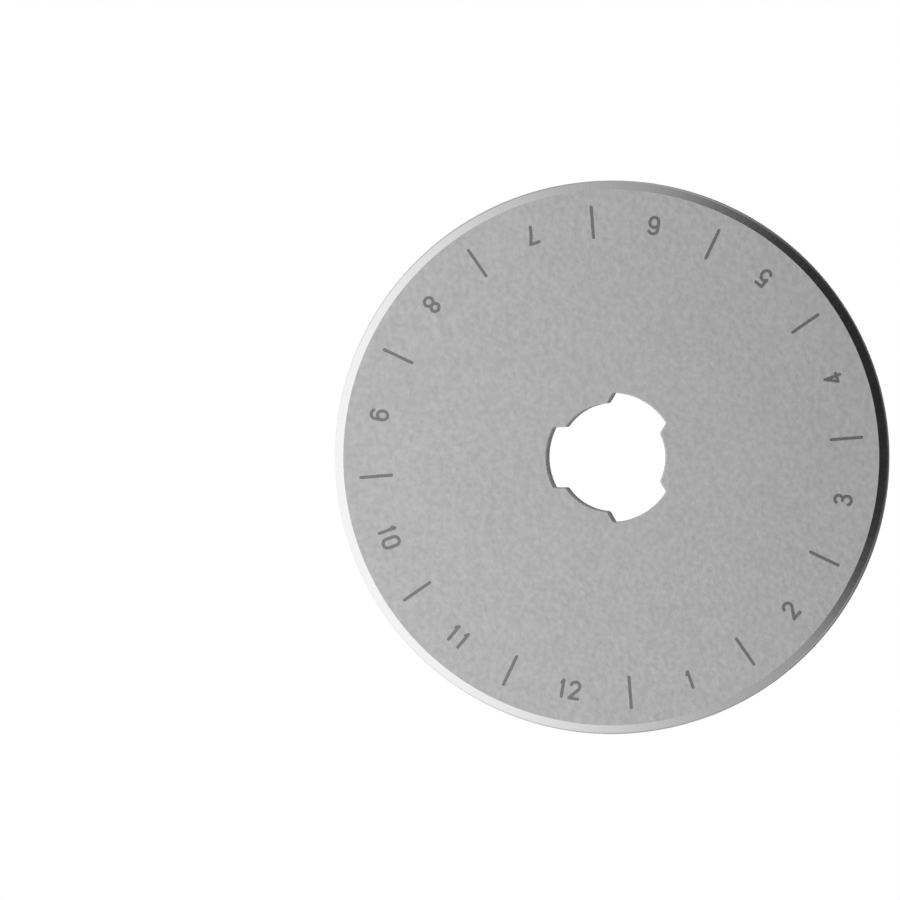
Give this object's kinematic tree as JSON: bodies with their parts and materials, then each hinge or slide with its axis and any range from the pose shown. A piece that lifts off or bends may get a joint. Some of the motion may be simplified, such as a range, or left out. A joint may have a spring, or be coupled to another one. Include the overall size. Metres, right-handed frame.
{
  "type": "rotary cutter blade",
  "caption": "Thin round steel blade, its rim ground from both sides to a sharp edge, with a lobed arbor hole and a numbered dial of index lines on one face.",
  "frame": {"origin": "centre of the lower face, on the arbor hole's axis", "axes": "+Z out of the face with the dial, along the arbor hole; -X through the middle of one lobe of the hole; +Y to the left of +X seen from above"},
  "size_m": [0.045, 0.045, 0.0003],
  "materials": {
    "steel": "hardened tool steel, fine satin grain on the faces, ground bright at the edge"
  },
  "bodies": {
    "root": {"blade": "steel"}
  },
  "joints": []
}
